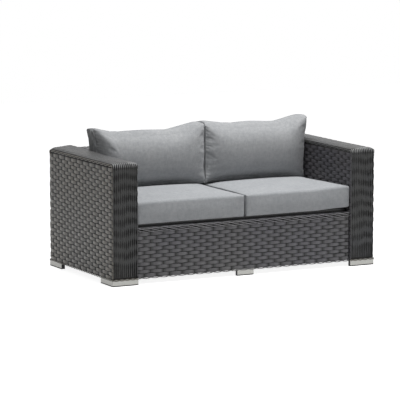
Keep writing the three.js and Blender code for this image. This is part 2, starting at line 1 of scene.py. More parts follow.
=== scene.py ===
import math

import bpy
import numpy as np
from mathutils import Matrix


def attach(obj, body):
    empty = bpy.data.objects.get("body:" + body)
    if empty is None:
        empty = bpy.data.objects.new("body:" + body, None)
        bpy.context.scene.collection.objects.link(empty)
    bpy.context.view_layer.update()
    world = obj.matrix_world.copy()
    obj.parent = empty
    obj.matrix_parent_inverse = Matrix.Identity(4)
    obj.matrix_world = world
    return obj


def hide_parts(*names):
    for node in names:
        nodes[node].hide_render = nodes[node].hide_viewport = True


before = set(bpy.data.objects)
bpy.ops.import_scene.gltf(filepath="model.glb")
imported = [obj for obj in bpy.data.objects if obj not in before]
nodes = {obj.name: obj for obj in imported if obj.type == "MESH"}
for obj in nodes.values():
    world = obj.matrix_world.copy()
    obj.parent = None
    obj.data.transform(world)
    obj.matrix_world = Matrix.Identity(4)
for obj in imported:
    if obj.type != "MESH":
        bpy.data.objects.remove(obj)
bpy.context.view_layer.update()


# Steel frames: welded square tube with a black powder coat, which dries to a fine orange peel.
# The seat frame drops on ledges of the back and skirt frames, and a beam ties the ledges together.
def shade(red, green, blue):
    """A colour as read off a screen, 0 to 255, turned into the light that it stands for."""
    values = np.array([red, green, blue]) / 255
    light = np.where(values <= 0.04045, values / 12.92, ((values + 0.055) / 1.055) ** 2.4)
    return (*(float(v) for v in light), 1.0)


def node(tree, kind, sockets=None, **settings):
    """A shader node with its settings; each socket gets a plain value or another node's output."""
    made = tree.nodes.new("ShaderNode" + kind)
    for name, value in settings.items():
        setattr(made, name, value)
    for name, value in (sockets or {}).items():
        if isinstance(value, bpy.types.NodeSocket):
            tree.links.new(value, made.inputs[name])
        else:
            made.inputs[name].default_value = value
    return made


def reckon(tree, operation, *values):
    """What one Math node makes of one to three values."""
    return node(tree, "Math", dict(enumerate(values)), operation=operation).outputs[0]


def noise(tree, place, scale, detail, roughness=0.5):
    """Soft noise between 0 and 1. A scale of three numbers stretches it along the axes."""
    if isinstance(scale, tuple):
        place = node(tree, "Mapping", {"Vector": place, "Scale": scale}).outputs[0]
        scale = 1.0
    sockets = {"Vector": place, "Scale": scale, "Detail": detail, "Roughness": roughness}
    return node(tree, "TexNoise", sockets).outputs["Fac"]


def tinted(tree, colour, gain):
    """A colour times a grey value."""
    grey = node(tree, "CombineColor", {"Red": gain, "Green": gain, "Blue": gain}).outputs[0]
    product = node(tree, "Mix", {0: 1.0, 6: colour, 7: grey}, data_type="RGBA", blend_type="MULTIPLY")
    return product.outputs[2]


def object_place(tree):
    """The place on the piece, in metres."""
    return node(tree, "TexCoord").outputs["Object"]


def shader_group(name, inputs, work_out):
    """A shader group with named inputs. It puts out the colour, roughness and height that work_out makes from
    the group's tree and its inputs."""
    tree = bpy.data.node_groups.new(name, "ShaderNodeTree")
    for label, value in inputs.items():
        kind = "NodeSocketColor" if isinstance(value, tuple) else "NodeSocketFloat"
        tree.interface.new_socket(label, in_out="INPUT", socket_type=kind).default_value = value
    outputs = {"Colour": "NodeSocketColor", "Roughness": "NodeSocketFloat", "Height": "NodeSocketFloat"}
    for label, kind in outputs.items():
        tree.interface.new_socket(label, in_out="OUTPUT", socket_type=kind)
    given = tree.nodes.new("NodeGroupInput").outputs
    out = tree.nodes.new("NodeGroupOutput").inputs
    for label, value in zip(outputs, work_out(tree, given)):
        tree.links.new(value, out[label])
    return tree


def textured_finish(name, group, sockets, relief, plain, strength=1.0):
    """A material whose colour, roughness and relief come from a shader group. relief is the height of its
    bumps, and plain holds what is the same all over the surface."""
    made = bpy.data.materials.new(name)
    made.use_nodes = True
    tree = made.node_tree
    look = node(tree, "Group", sockets, node_tree=group).outputs
    bump = node(tree, "Bump", {"Height": look["Height"], "Distance": relief, "Strength": strength})
    surface = tree.nodes["Principled BSDF"].inputs
    tree.links.new(look["Colour"], surface["Base Color"])
    tree.links.new(look["Roughness"], surface["Roughness"])
    tree.links.new(bump.outputs["Normal"], surface["Normal"])
    for socket, value in plain.items():
        surface[socket].default_value = value
    return made


def mottle(tree, given):
    """Uneven colour and gloss: two sizes of noise, the large one for stains and the small for grain."""
    place = object_place(tree)
    grain = noise(tree, place, given["Grain size"], 2.0)
    both = reckon(tree, "ADD", noise(tree, place, given["Patch size"], 5.0), grain)
    centred = reckon(tree, "ADD", both, -1.0)
    gain = reckon(tree, "MULTIPLY_ADD", centred, given["Spread"], 1.0)
    rough = reckon(tree, "MULTIPLY_ADD", centred, given["Spread"], given["Roughness"])
    return tinted(tree, given["Colour"], gain), rough, grain


mottled_surface = shader_group("mottled surface", {
    "Colour": (0.5, 0.5, 0.5, 1), "Spread": 0.2, "Patch size": 6.0, "Grain size": 900.0,
    "Roughness": 0.5}, mottle)


def plain_finish(name, colour, roughness, metallic=0.0, spread=0.2, grain=900.0, coat=0.0):
    """A coated, moulded or plated finish with mottled colour and a fine relief."""
    sockets = {"Colour": colour, "Spread": spread, "Grain size": grain, "Roughness": roughness}
    plain = {"Metallic": metallic, "Coat Weight": coat}
    return textured_finish(name, mottled_surface, sockets, 0.00004, plain)


def paint(names, surface):
    """Gives CAD pieces their finish."""
    for name in names:
        for place in nodes[name].material_slots:
            place.material = surface


powder_coat = plain_finish("black powder coat", shade(24, 24, 25), 0.42, spread=0.25, grain=1400.0, coat=0.15)
paint(["left_arm_frame", "right_arm_frame", "back_frame", "skirt_frame", "seat_frame", "centre_beam",
       "front_ledge", "rear_ledge"], powder_coat)

# Bolts and screws: zinc-plated steel, dull and a little blue. Long bolts hold the skirt and the
# back to the arms, and each foot has two screws from below.
zinc = plain_finish("zinc plate", shade(176, 179, 184), 0.34, metallic=1.0, spread=0.35, grain=500.0)
paint([name for name in nodes if "bolt_" in name or "screw" in name], zinc)

# Feet: moulded black plastic, L-shaped at the corners, with a brushed aluminium face on the outer
# sides that stops a little short of the floor.
foot_plastic = plain_finish("moulded black plastic", shade(20, 20, 20), 0.55, spread=0.2, grain=700.0)
feet = [name for name in nodes if name.startswith("foot_") and "face" not in name and "screw" not in name]
paint(feet, foot_plastic)


def brush(tree, given):
    """Fine scratches that run along X and Y, as on a strip that is brushed before it is folded."""
    lines = noise(tree, object_place(tree), (9.0, 9.0, 2600.0), 3.0)
    centred = reckon(tree, "ADD", lines, -0.5)
    gain = reckon(tree, "MULTIPLY_ADD", centred, given["Depth"], 1.0)
    rough = reckon(tree, "MULTIPLY_ADD", centred, given["Depth"], given["Roughness"])
    return tinted(tree, given["Colour"], gain), rough, lines


brushed_lines = shader_group("brushed lines", {
    "Colour": (0.6, 0.6, 0.6, 1), "Depth": 0.12, "Roughness": 0.3}, brush)
brushed_aluminium = textured_finish("brushed aluminium", brushed_lines, {
    "Colour": shade(170, 170, 166), "Depth": 0.6, "Roughness": 0.38}, 0.00003, {"Metallic": 0.75})
paint([name for name in nodes if name.startswith("foot_face_")], brushed_aluminium)

# Rattan weave: flat strands of extruded plastic, brushed grey-brown, woven over and under thinner
# stakes that are stapled to the frames. Wide strands run level on the sides, the skirt and the back.
half_width = 0.75
half_depth = 0.375
arm_width = 0.14
arm_top = 0.608
base = 0.0325  # underside of the woven panels
inner_x = half_width - arm_width
back_front = half_depth - 0.14
strand_level = -0.0012  # middle of a strand's swing, from the panel's face
backing_depth = 0.0036
strand_section = dict(width=0.0180, crown=0.0010, swing=0.0016)

# Cross-sections as shares of width and crown: a strand with soft edges, a stake and a flat backing.
strand_shares = np.array([(-0.5, 0.1), (-0.44, 0.68), (-0.24, 0.97), (0.24, 0.97), (0.44, 0.68), (0.5, 0.1),
                          (0.32, -0.45), (-0.32, -0.45)])
stake_shares = np.array([(-0.5, 0.0), (-0.3, 0.8), (0.3, 0.8), (0.5, 0.0), (0.3, -0.6), (-0.3, -0.6)])
backing_shares = np.array([(-0.5, 0.0), (0.5, 0.0), (0.5, -1.0), (-0.5, -1.0)])


def add_mesh(name, points, quads, marks=None, layer="strand"):
    """A mesh object from arrays. Its quads are turned over if the closed form would be inside out. marks gives
    each point its two UV values and, where there is a third, its crest, which paints light and shade: 1 where
    a strand lies on top, lower as painted shade in a hollow and higher as a painted highlight."""
    corners = points[quads]
    volume = np.einsum("ij,ij->", corners[:, 0], np.cross(corners[:, 1], corners[:, 2]) +
                       np.cross(corners[:, 2], corners[:, 3]))
    if volume < 0:
        quads = quads[:, ::-1]
    mesh = bpy.data.meshes.new(name)
    mesh.vertices.add(len(points))
    mesh.vertices.foreach_set("co", points.astype(np.float32).ravel())
    mesh.loops.add(quads.size)
    mesh.loops.foreach_set("vertex_index", quads.astype(np.int32).ravel())
    mesh.polygons.add(len(quads))
    mesh.polygons.foreach_set("loop_start", np.arange(0, quads.size, 4, dtype=np.int32))
    mesh.polygons.foreach_set("use_smooth", np.ones(len(quads), bool))
    if marks is not None:
        uv = marks[quads][..., :2].astype(np.float32)
        mesh.uv_layers.new(name=layer).data.foreach_set("uv", uv.ravel())
        # the crest attribute: painted light and shade that scales the rattan's colour
        for crest in marks.T[2:]:
            shown = mesh.attributes.new("crest", "FLOAT", "POINT").data
            shown.foreach_set("value", crest.astype(np.float32))
    mesh.update(calc_edges=True)
    piece = bpy.data.objects.new(name, mesh)
    bpy.context.scene.collection.objects.link(piece)
    return piece


def fit(piece, surface, body):
    """Gives a new piece its finish and lets it ride on a body."""
    piece.data.materials.append(surface)
    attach(piece, body)


def swept_quads(strands, steps, ring):
    """Quads of closed strands, whose points are numbered strand by strand, step by step, round the ring."""
    index = np.arange(strands * steps * ring).reshape(strands, steps, ring)
    turned = np.roll(index, -1, axis=2)
    sides = np.stack([index[:, :-1], turned[:, :-1], turned[:, 1:], index[:, 1:]], -1).reshape(-1, 4)
    caps = []
    for low in range(ring // 2 - 1):
        high = ring - 1 - low
        patch = [low, low + 1, high - 1, high]
        caps += [index[:, -1, patch], index[:, 0, patch[::-1]]]
    return np.concatenate([sides, *caps])


def sweep(along, across, lift, place, shares, width, crown, crest=1.0):
    """Strands as arrays [strand, step]: their middle lines, with a cross-section in shares round each step.
    place turns (along, across, lift) into points. The crest, painted light and shade, is lower at a strand's
    edges and underside, a painted shade."""
    strands, steps = along.shape
    wide = across[..., None] + np.asarray(width)[..., None] * shares[:, 0]
    high = lift[..., None] + np.asarray(crown)[..., None] * shares[:, 1]
    far = np.broadcast_to(along[..., None], wide.shape)
    points = place(far, wide, high).reshape(-1, 3)
    row = np.arange(strands)[:, None, None] * 3.0 + 0.5 + shares[:, 0]
    # painted shade: the crest falls to 0.6 of its value at the strand's edges and underside
    on_top = np.interp(shares[:, 1], [0.1, 0.9], [0.6, 1])
    top = np.broadcast_to(np.asarray(crest), along.shape)[..., None] * on_top
    marks = np.stack([far, np.broadcast_to(row, far.shape), top], -1).reshape(-1, 3)
    return points, swept_quads(strands, steps, len(shares)), marks


def joined_arrays(parts):
    """Several (points, quads, marks) as one."""
    starts = np.cumsum([0] + [len(points) for points, _, _ in parts[:-1]])
    return (np.concatenate([points for points, _, _ in parts]),
            np.concatenate([quads + start for (_, quads, _), start in zip(parts, starts)]),
            np.concatenate([marks for _, _, marks in parts]))


def table(place, pairs):
    """Straight lines through (place, value) pairs."""
    return np.interp(place, *np.transpose(pairs))


def weave(place, along, across, pitch, stakes, start, width, crown, swing, pinch=((0, 0.10),), tuck=0.0,
          stagger=1, steps=6, seed=1, stray=0.0, hollow=1.5, slant=0.30, apart=((0, 0),), painted_light_gain=((0, 0),)):
    """Strands of a weave over a rectangle of (along, across), with steps points between two stakes. Each rises
    and falls as a sine with a slightly flattened top, and dives by swing under every other stake: the first
    strand under the stake at start, and a neighbour stagger stakes further on. Width, rise and course vary a
    little from strand to strand, and stray is how far, in radians, the dives of neighbours drift apart. tuck
    is how far the ends bend in behind the edge. The crest carries painted light: it drops by hollow in a dive,
    a painted shade, and is higher by slant on the way into one and lower on the way out, a painted shade on
    one side of each strand. pinch, apart and the painted highlight gain pair distances along with values: the
    share by which a strand narrows where it dives, whether it stays narrow between the dives, and what its
    crest gains as a painted highlight."""
    chance = np.random.default_rng(seed)
    rows = round((across[1] - across[0]) / pitch)
    row_step = (across[1] - across[0]) / rows
    order = np.arange(rows)[:, None]
    far = np.linspace(along[0], along[1], round((along[1] - along[0]) / stakes * steps) + 1)[None, :]
    own = chance.uniform(0, 2 * np.pi, (4, rows, 1))
    step = np.pi * ((far - start) / stakes + stagger * order)
    step = step + stray * (np.sin(0.5 * order + 9 * far + seed) + 0.4 * np.sin(23 * far + own[2]))
    turn = step - np.pi / 2 + 0.12 * np.sin(far * 19 + own[0])
    rise = np.sin(turn)
    rise = rise * (1.16 - 0.16 * rise ** 2)
    lift = strand_level + swing * (1 + 0.16 * np.sin(far * 23 + own[1])) * rise
    lift -= tuck * np.clip(1 - np.minimum(far - along[0], along[1] - far) / 0.007, 0, 1) ** 2
    middle = across[0] + (order + 0.5) * row_step + 0.035 * row_step * np.sin(far * 31 + own[2])
    dive = 0.5 - 0.5 * rise
    narrow = table(far, pinch) * (1 + 0.25 * np.sin(far * 41 + own[3]))
    wide = width * (1 - narrow * np.maximum(dive, table(far, apart)))
    wide = wide * (1 + 0.03 * np.sin(far * 27 + own[1]))
    # painted shade: the crest drops in each dive and on the way out of it; the table added next is a painted
    # highlight
    crest = 1 - hollow * np.clip(2.4 * dive - 1.3, 0, 1) - slant * np.clip(1.5 * np.cos(turn), -1, 1)
    crest = crest + table(far, painted_light_gain)
    high = crown * (1 - 0.25 * dive)
    return sweep(np.broadcast_to(far, lift.shape), middle, lift, place, strand_shares, wide, high, crest)


def stakes_for(place, along, across, pitch, stakes, start, width=0.0062, thick=0.0009):
    """The stakes of a plain weave, one over every dive of the strands. Their crest is held at 0.5, a painted
    shade.
    """
    first = math.ceil((along[0] + 0.008 - start) / stakes)
    last = math.floor((along[1] - 0.008 - start) / stakes)
    places = start + stakes * np.arange(first, last + 1)[:, None]
    far = np.linspace(across[0], across[1], 3 * round((across[1] - across[0]) / pitch) + 1)[None, :]
    flat = np.ones((len(places), far.shape[1]))
    return sweep(far * flat, places * flat, strand_level * flat, lambda a, b, h: place(b, a, h), stake_shares,
                 width * flat, thick * flat, 0.5)


def backing(place, along, across, steps=2):
    """A thin layer behind a panel, with its crest at 0.5, that stands as painted shade behind and between the
    strands.
    """
    far = np.linspace(*along, steps)[None, :]
    flat = np.ones_like(far)
    return sweep(far, flat * (across[0] + across[1]) / 2, -backing_depth * flat, place, backing_shares,
                 flat * (across[1] - across[0]), flat * 0.0008, 0.5)


def flat_face(origin, along, across, outward):
    """Places points on a flat face: along and across are distances, lift is outwards."""
    origin, along, across, outward = (np.array(v, float) for v in (origin, along, across, outward))
    return lambda a, b, h: origin + a[..., None] * along + b[..., None] * across + h[..., None] * outward


def unit(vectors):
    """Vectors with their length set to 1."""
    return vectors / np.linalg.norm(vectors, axis=1)[:, None]


def distances(points):
    """How far along a path each of its points lies."""
    return np.concatenate([[0], np.cumsum(np.linalg.norm(np.diff(points, axis=0), axis=1))])


def rounded_profile(corners, radius):
    """A path through corners in a plane with its corners rounded: its length so far, its points and its
    outward normals, which point to the left of the way it runs. Each corner is an arc of eight steps."""
    corners = np.array(corners, float)
    ways = unit(np.diff(corners, axis=0))
    sides = np.stack([-ways[:, 1], ways[:, 0]], 1)
    points, normals = [corners[0]], [sides[0]]
    for corner, before, after in zip(corners[1:-1], range(len(ways)), range(1, len(ways))):
        centre = corner - radius * ways[before] + radius * ways[after]
        start, end = sides[before], sides[after]
        for share in np.linspace(0, 1, 9):
            normal = start * np.cos(share * np.pi / 2) + end * np.sin(share * np.pi / 2)
            points.append(centre + radius * normal)
            normals.append(normal)
    points.append(corners[-1])
    normals.append(sides[-1])
    points, normals = np.array(points), np.array(normals)
    return distances(points), points, normals


def profile_point(profile, distance, lift):
    """The place on a rounded profile at a distance along it, moved out by lift."""
    length, points, normals = profile
    one = np.interp(distance, length, points[:, 0]) + lift * np.interp(distance, length, normals[:, 0])
    two = np.interp(distance, length, points[:, 1]) + lift * np.interp(distance, length, normals[:, 1])
    return one, two


def twist(middle, first, second, reach, thick, turn, ring=6):
    """Two cords twisted round a path. Each runs round the middle line on an oval of half sizes reach along the
    unit arrays first and second, a full turn every turn metres. Its crest, painted light and shade, is highest
    where it lies furthest out along second and lowest where it lies deepest."""
    length = distances(middle)
    around = (np.arange(ring) * 2 * np.pi / ring)[:, None]
    parts = []
    for half in (0, np.pi):
        angle = (2 * np.pi * length / turn + half)[:, None]
        core = middle + reach[0] * np.cos(angle) * first + reach[1] * np.sin(angle) * second
        way = unit(np.gradient(core, axis=0))
        side = unit(np.cross(way, first))
        up = np.cross(side, way)
        points = core[:, None] + thick * (np.cos(around) * up[:, None] + np.sin(around) * side[:, None])
        # painted highlight and shade: the crest swings with the twist, lighter where the cord lies out, darker
        # where it lies in
        crest = (0.9 + 0.5 * np.sin(angle)) * np.ones(ring)
        marks = np.stack([np.repeat(length, ring), np.tile(around[:, 0] / 6 + half, len(length)),
                          crest.ravel()], 1)
        parts.append((points.reshape(-1, 3), swept_quads(1, len(length), ring), marks))
    return parts


def straight_twist(start, end, first, second, reach=(0.0034, 0.0018), thick=0.0021, turn=0.060):
    """A straight twisted cord from start to end, at least twelve steps to a turn."""
    start, end = np.array(start, float), np.array(end, float)
    steps = int(np.linalg.norm(end - start) / turn * 12) + 2
    middle = start + np.linspace(0, 1, steps)[:, None] * (end - start)
    ones = np.ones((steps, 1))
    return twist(middle, ones * np.array(first, float), ones * np.array(second, float), reach, thick, turn)


def strand(tree, given):
    """Plastic strand with brushed streaks along it: u runs along a strand, v jumps by 3 from one to the next,
    so each strand has its own tone. Broad patches drift between a warm and a cool grey. The crest attribute
    paints light and shade on it: tops a little paler, a painted highlight where the crest is raised, and
    painted shade in the hollows."""
    # painted light and shade: the crest scales the colour from Hollow in a dive to Crest on top, and higher
    # where it is raised
    crest = node(tree, "Attribute", attribute_name="crest").outputs["Fac"]
    painted_light_gain = node(tree, "MapRange", {"Value": crest, "To Min": given["Hollow"], "To Max": given["Crest"]},
                clamp=False).outputs[0]
    place = node(tree, "UVMap", uv_map="strand").outputs["UV"]
    streak = noise(tree, place, (16.0, 9.0, 1.0), 4.0, 0.6)
    tone = noise(tree, place, (9.0, 0.33, 1.0), 1.0)
    patch = noise(tree, object_place(tree), 3.5, 3.0)
    blend = node(tree, "MapRange", {"Value": patch, "From Min": 0.35, "From Max": 0.65}).outputs[0]
    drift = node(tree, "Mix", {0: blend, 6: given["Warm"], 7: given["Cool"]}, data_type="RGBA").outputs[2]
    streaked = reckon(tree, "ADD", streak, -0.5)
    gain = reckon(tree, "MULTIPLY_ADD", streaked, given["Streak"], 1.0)
    gain = reckon(tree, "MULTIPLY_ADD", reckon(tree, "ADD", tone, -0.5), given["Tone"], gain)
    rough = reckon(tree, "MULTIPLY_ADD", streaked, given["Streak"], given["Roughness"])
    return tinted(tree, drift, reckon(tree, "MULTIPLY", gain, painted_light_gain)), rough, streak


brushed_strand = shader_group("brushed strand", {
    "Warm": (0.1, 0.1, 0.1, 1), "Cool": (0.1, 0.1, 0.1, 1), "Streak": 0.3, "Tone": 0.2, "Hollow": 0.5,
    "Crest": 1.1, "Roughness": 0.5}, strand)


def rattan_finish(name, warm, cool, roughness=0.38, gloss=0.5, hollow=0.5):
    """Extruded plastic rattan: satin, streaked along each strand. hollow is the share of its colour that a
    dive keeps, a painted shade."""
    sockets = {"Warm": warm, "Cool": cool, "Streak": 0.5, "Tone": 0.5, "Hollow": hollow, "Crest": 1.08,
               "Roughness": roughness}
    return textured_finish(name, brushed_strand, sockets, 0.00025, {"Specular IOR Level": gloss})


rattan = rattan_finish("grey rattan", shade(101, 96, 87), shade(95, 92, 87))
# painted shade: a darker, cooler copy of the grey rattan for the arms' inner sides, which face away from the
# lamp
inner_rattan_painted_shade = rattan_finish("grey rattan with painted shade", shade(86, 84, 87), shade(82, 81, 86), 0.42, 0.3, 0.8)
# painted light: a cooler, slightly darker copy of the grey rattan for the back and skirt, in place of the
# cooler light on faces turned to the front
front_rattan_painted_light = rattan_finish("grey rattan with painted cool light", shade(91, 90, 91), shade(87, 86, 91), hollow=0.6)
# painted light: a lighter copy of the grey rattan for the skirt's cords, in place of the light their round
# tops catch
cord_rattan_painted_light = rattan_finish("grey rattan with painted light", shade(122, 121, 121), shade(117, 116, 120))
dark_rattan = rattan_finish("charcoal rattan", shade(74, 74, 73), shade(71, 72, 74), 0.40, 0.3)
# painted shade: the stakes and the backing are coloured near black to stand for the shade between and behind
# the strands
rattan_behind_painted_shade = rattan_finish("rattan stakes and backing with painted shade", shade(34, 33, 32), shade(32, 32, 33), 0.65)


def add_rattan(name, parts, surface, stands_for=()):
    """Joins strand arrays into one woven piece that rides on the frame."""
    piece = add_mesh(name, *joined_arrays(parts))
    fit(piece, surface, "sofa_frame")
    if stands_for:
        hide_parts(*stands_for)


# Arms: box panels with level strands on both sides. Thirteen narrower strands climb the front, roll over
# the slightly crowned top and go down the rear, and part in every other row. Twisted cords close the edges.
roll = 0.016
arm_profile = rounded_profile([(-half_depth, base), (-half_depth, arm_top), (half_depth, arm_top),
                               (half_depth, base)], roll)
arm_length = arm_profile[0][-1]
top_start = arm_top - base - roll  # distances along the profile at which the rolls begin and end
top_end = arm_length - top_start
arm_crown = 0.007
crown_half = 0.069  # from the middle of an arm's top to where its crown ends
low = base - 0.0010  # height of the lowest cords
proud = half_depth + 0.0005
side_weave = dict(pitch=0.0186, stakes=0.03616, start=0.0825)
climbing = 13  # strands up the front of an arm
climbing_weave = dict(
    along=(0.012, arm_length - 0.012), across=(-arm_width / 2 + 0.0005, arm_width / 2 - 0.0005),
    pitch=arm_width / climbing, stakes=0.0278, start=0.1783, crown=0.0019, swing=0.0002,
    width=table(np.abs(np.arange(climbing) - climbing // 2)[:, None], [(4, 0.0106), (5, 0.0096), (6, 0.0094)]),
    stagger=0, stray=0.75, hollow=0.35, slant=0,
    pinch=[(0, 0.58), (top_start - 0.030, 0.58), (top_start + 0.004, 0.50), (top_start + 0.026, 0.40),
           (top_start + 0.04, 0.06), (top_end - 0.04, 0.06), (top_end - 0.02, 0.46)],
    apart=[(0.055, 1), (0.075, 0), (top_start - 0.016, 0), (top_start - 0.006, 1), (top_start + 0.013, 1),
           (top_start + 0.018, 0)],
    # painted highlight: the crest is raised far above 1 where the strands roll over the arm's front edge, in
    # place of the lamp's glint there
    painted_light_gain=[(top_start - 0.005, 0), (top_start + 0.005, 7.5), (top_start + 0.020, 6), (top_start + 0.028, 0)])


def over_the_arm(side):
    """Places strands that run up an arm's front, over its top and down its rear. On the top they stand closer,
    between the cords, and the top is crowned, higher to the rear on the inner side."""
    def place(a, b, h):
        on_top = table(a, [(top_start, 0), (top_start + 0.03, 1), (top_end - 0.022, 1), (top_end, 0)])
        to_rear = np.clip((a - top_start - 0.30) / 0.40, 0, 1)
        crowned = (arm_crown + 0.005 * to_rear * (1 - side * b / crown_half)) * on_top
        crowned = crowned * (1 - np.minimum(np.abs(b) / crown_half, 1) ** (3 + 5 * to_rear))
        y, z = profile_point(arm_profile, a, h + crowned)
        return np.stack([side * (half_width - arm_width / 2) + b * (1 - 0.08 * on_top), y, z], -1)
    return place


def top_cord(edge, outward):
    """The twisted cord along one edge of an arm's top. It lies a little deeper at both ends."""
    reach = np.linspace(top_start - 0.012, top_end + 0.012, 230)
    fade = np.clip(np.minimum(reach - reach[0], reach[-1] - reach) / 0.02, 0, 1)
    y, z = profile_point(arm_profile, reach, -0.0095 + 0.0020 * fade)
    middle = np.stack([np.full_like(y, edge - outward * 0.0008), y, z], 1)
    length, _, normals = arm_profile
    up = unit(np.stack([0 * y, *(np.interp(reach, length, normals[:, k]) for k in (0, 1))], 1))
    return twist(middle, up, 0 * up + (outward, 0, 0), (0.0042, 0.0016), 0.0022, 0.092)


for name, side in (("left", -1), ("right", 1)):
    behind = []
    for at, outward in ((side * half_width, side), (side * inner_x, -side)):
        place = flat_face((at, 0, 0), (0, 1, 0), (0, 0, 1), (outward, 0, 0))
        along, across = (-half_depth + 0.001, half_depth - 0.001), (base + 0.0034, arm_top - 0.0190)
        strands = weave(place, along, across, tuck=0.003, seed=6 + side + 2 * outward, **side_weave,
                        **strand_section)
        if outward == side:
            add_rattan(f"{name}_arm_outer_weave", [strands], rattan, stands_for=[f"{name}_arm_wicker"])
        else:
            add_rattan(f"{name}_arm_inner_weave", [strands], inner_rattan_painted_shade)
        behind.append(stakes_for(place, along, across, **side_weave))
        behind.append(backing(place, (-half_depth + backing_depth, half_depth - backing_depth),
                              (base, arm_top - backing_depth)))

    place = over_the_arm(side)
    climbing_strands = weave(place, seed=11 + side, **climbing_weave)
    add_rattan(f"{name}_arm_front_and_top_weave", [climbing_strands], dark_rattan)
    edge = arm_width / 2 - backing_depth
    behind.append(backing(place, (0, arm_length), (-edge, edge), 160))
    add_rattan(f"{name}_arm_stakes_and_backing", behind, rattan_behind_painted_shade)

    cords = top_cord(side * half_width, side)
    outer, inner = side * (half_width + 0.0005), side * (inner_x + 0.001)
    for start, end, outward in (((outer, -proud, low), (outer, proud, low), (side, 0, 0)),
                                ((inner, -proud, low), (outer, -proud, low), (0, -1, 0)),
                                ((inner, proud, low), (outer, proud, low), (0, 1, 0))):
        cords += straight_twist(start, end, (0, 0, 1), outward)
    add_rattan(f"{name}_arm_edge_cords", cords, rattan)
    add_rattan(f"{name}_arm_inner_cord", top_cord(side * inner_x, -side), dark_rattan)


# Back: a box woven in one piece round the back frame and its upright stakes. Level strands run along the
# front, over the top and down the rear, and a twisted cord closes the rear's lower edge.
def level_panel(profile, crown=0.0, top=(0, 1)):
    """Places strands that run along X round a profile: a is X, b is the distance along the profile. The
    stretch of the profile between the two distances of top is crowned."""
    def place(a, b, h):
        share = np.clip(2 * (b - top[0]) / (top[1] - top[0]) - 1, -1, 1)
        y, z = profile_point(profile, b, h + crown * (1 - np.abs(share) ** 3))
        return np.stack([a + 0 * y, y + 0 * a, z + 0 * a], -1)
    return place


def backing_round(profile, end):
    """The dark layer behind strands that run along X, swept round the profile from -end to end."""
    def place(a, b, h):
        y, z = profile_point(profile, a, h)
        return np.stack([b + 0 * y, y + 0 * b, z + 0 * b], -1)
    return backing(place, (0, profile[0][-1]), (-end, end), 120)


end_x = inner_x - 0.0005
back_foot = 0.2726  # lower edge of the front face
back_profile = rounded_profile([(back_front, back_foot), (back_front, arm_top), (half_depth, arm_top),
                                (half_depth, base)], roll)
back_weave = dict(pitch=0.0186, stakes=0.0352, start=0.0)
back_top_start = arm_top - back_foot - roll
back_top_length = 0.157
place = level_panel(back_profile, 0.004, (back_top_start, back_top_start + back_top_length))
along, across = (-end_x, end_x), (0.001, back_profile[0][-1] - 0.0144)
strands = weave(place, along, across, seed=21, tuck=0.002, steps=5, **back_weave, **strand_section)
add_rattan("back_weave", [strands], front_rattan_painted_light, stands_for=["back_wicker"])
stakes = stakes_for(place, along, across, **back_weave)
add_rattan("back_stakes_and_backing", [stakes, backing_round(back_profile, end_x)], rattan_behind_painted_shade)
cords = straight_twist((-end_x, proud, low), (end_x, proud, low), (0, 0, 1), (0, 1, 0))
add_rattan("back_base_cord", cords, front_rattan_painted_light)

# Skirt: twelve level strands up the front of the skirt frame, round upright stakes that are stapled to it.
# A smooth band is folded over its top, with two twisted cords under it and one along the base.
skirt_front = -half_depth + 0.012
skirt_rear = skirt_front + 0.0345
skirt_top = 0.285
skirt_profile = rounded_profile([(skirt_front, base), (skirt_front, skirt_top), (skirt_rear, skirt_top),
                                 (skirt_rear, skirt_top - 0.009)], 0.006)
skirt_pitch = 0.0188
skirt_weave = dict(pitch=skirt_pitch, stakes=0.0352, start=-0.2889)
place = level_panel(skirt_profile)
along, across = (-end_x, end_x), (0.0020, 0.0020 + 12 * skirt_pitch)
strands = weave(place, along, across, seed=31, tuck=0.003, **skirt_weave, **strand_section)
across_band = (skirt_top - base - 0.004, skirt_profile[0][-1])
band = weave(place, along, across_band, pitch=0.011, stakes=0.0352, start=0, width=0.0112, crown=0.0006,
             swing=0.0001, seed=32)
add_rattan("skirt_weave", [strands, band], front_rattan_painted_light, stands_for=["skirt_wicker"])
stakes = stakes_for(place, along, across, **skirt_weave)
add_rattan("skirt_stakes_and_backing", [stakes, backing_round(skirt_profile, end_x)], rattan_behind_painted_shade)
cords = []
thin, stout = (0.0032, 0.0016), (0.0042, 0.0014)
for height, out, reach in ((base - 0.0016, 0.0008, thin), (skirt_top - 0.0215, 0.0010, stout),
                           (skirt_top - 0.0090, 0.0010, stout)):
    cords += straight_twist((-end_x, skirt_front - out, height), (end_x, skirt_front - out, height),
                            (0, 0, 1), (0, -1, 0), reach, turn=0.100)
add_rattan("skirt_edge_cords", cords, cord_rattan_painted_light)

# Seat support: a black sheet woven of plastic tape. It is stretched flat over the seat frame, held along the
# frame's outer tubes, and carries the seat cushions.
deck_sheet = textured_finish("black woven sheet", mottled_surface, {
    "Colour": shade(22, 22, 23), "Spread": 0.3, "Grain size": 600.0, "Roughness": 0.6}, 0.0003, {})
tree = deck_sheet.node_tree
tapes = []
for way in ("X", "Y"):
    sockets = {"Vector": object_place(tree), "Scale": 160.0, "Distortion": 0.3}
    tapes.append(node(tree, "TexWave", sockets, bands_direction=way).outputs["Fac"])
tree.links.new(reckon(tree, "MAXIMUM", *tapes), tree.nodes["Bump"].inputs["Height"])
paint(["seat_deck_sheet"], deck_sheet)


